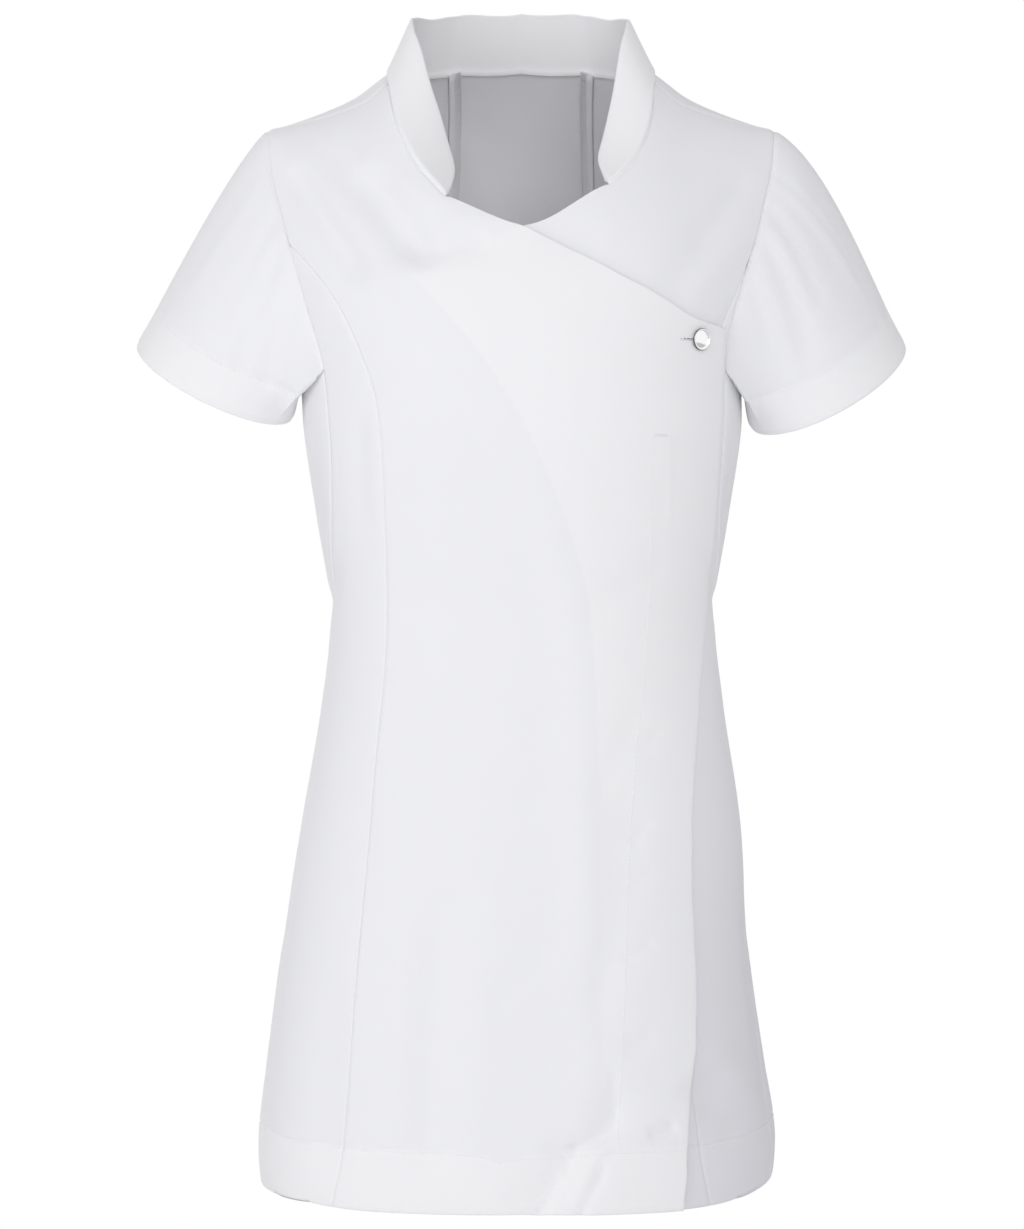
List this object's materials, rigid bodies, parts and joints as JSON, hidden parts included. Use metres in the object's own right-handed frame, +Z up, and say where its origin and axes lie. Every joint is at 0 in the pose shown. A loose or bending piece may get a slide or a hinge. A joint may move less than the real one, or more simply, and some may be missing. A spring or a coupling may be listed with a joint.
{
  "type": "beautician tunic",
  "caption": "White wrap-front salon tunic, filled out as if worn, with a stand collar, short set-in sleeves, princess seams and one metal button at the chest.",
  "frame": {"origin": "between the two points where the shoulder seams meet the collar, where the wearer's shoulders hold the tunic up", "axes": "+Z up towards the neck, +X towards the wearer's left, -Y the way the wearer faces"},
  "size_m": [0.5305, 0.2523, 0.821],
  "materials": {
    "tunic_cloth": "matte white poly-cotton twill, fine diagonal weave, soft folds",
    "collar_cloth": "the same white twill in two layers, fused and edge-stitched",
    "button_metal": "polished silver metal with a rounded rim"
  },
  "bodies": {
    "root": {"front_right_centre": "tunic_cloth", "front_right_side": "tunic_cloth", "front_left_centre": "tunic_cloth", "front_left_side": "tunic_cloth", "back_centre": "tunic_cloth", "back_right_side": "tunic_cloth", "back_left_side": "tunic_cloth", "sleeve_right": "tunic_cloth", "sleeve_left": "tunic_cloth", "collar": "collar_cloth", "button": "button_metal"}
  },
  "joints": []
}
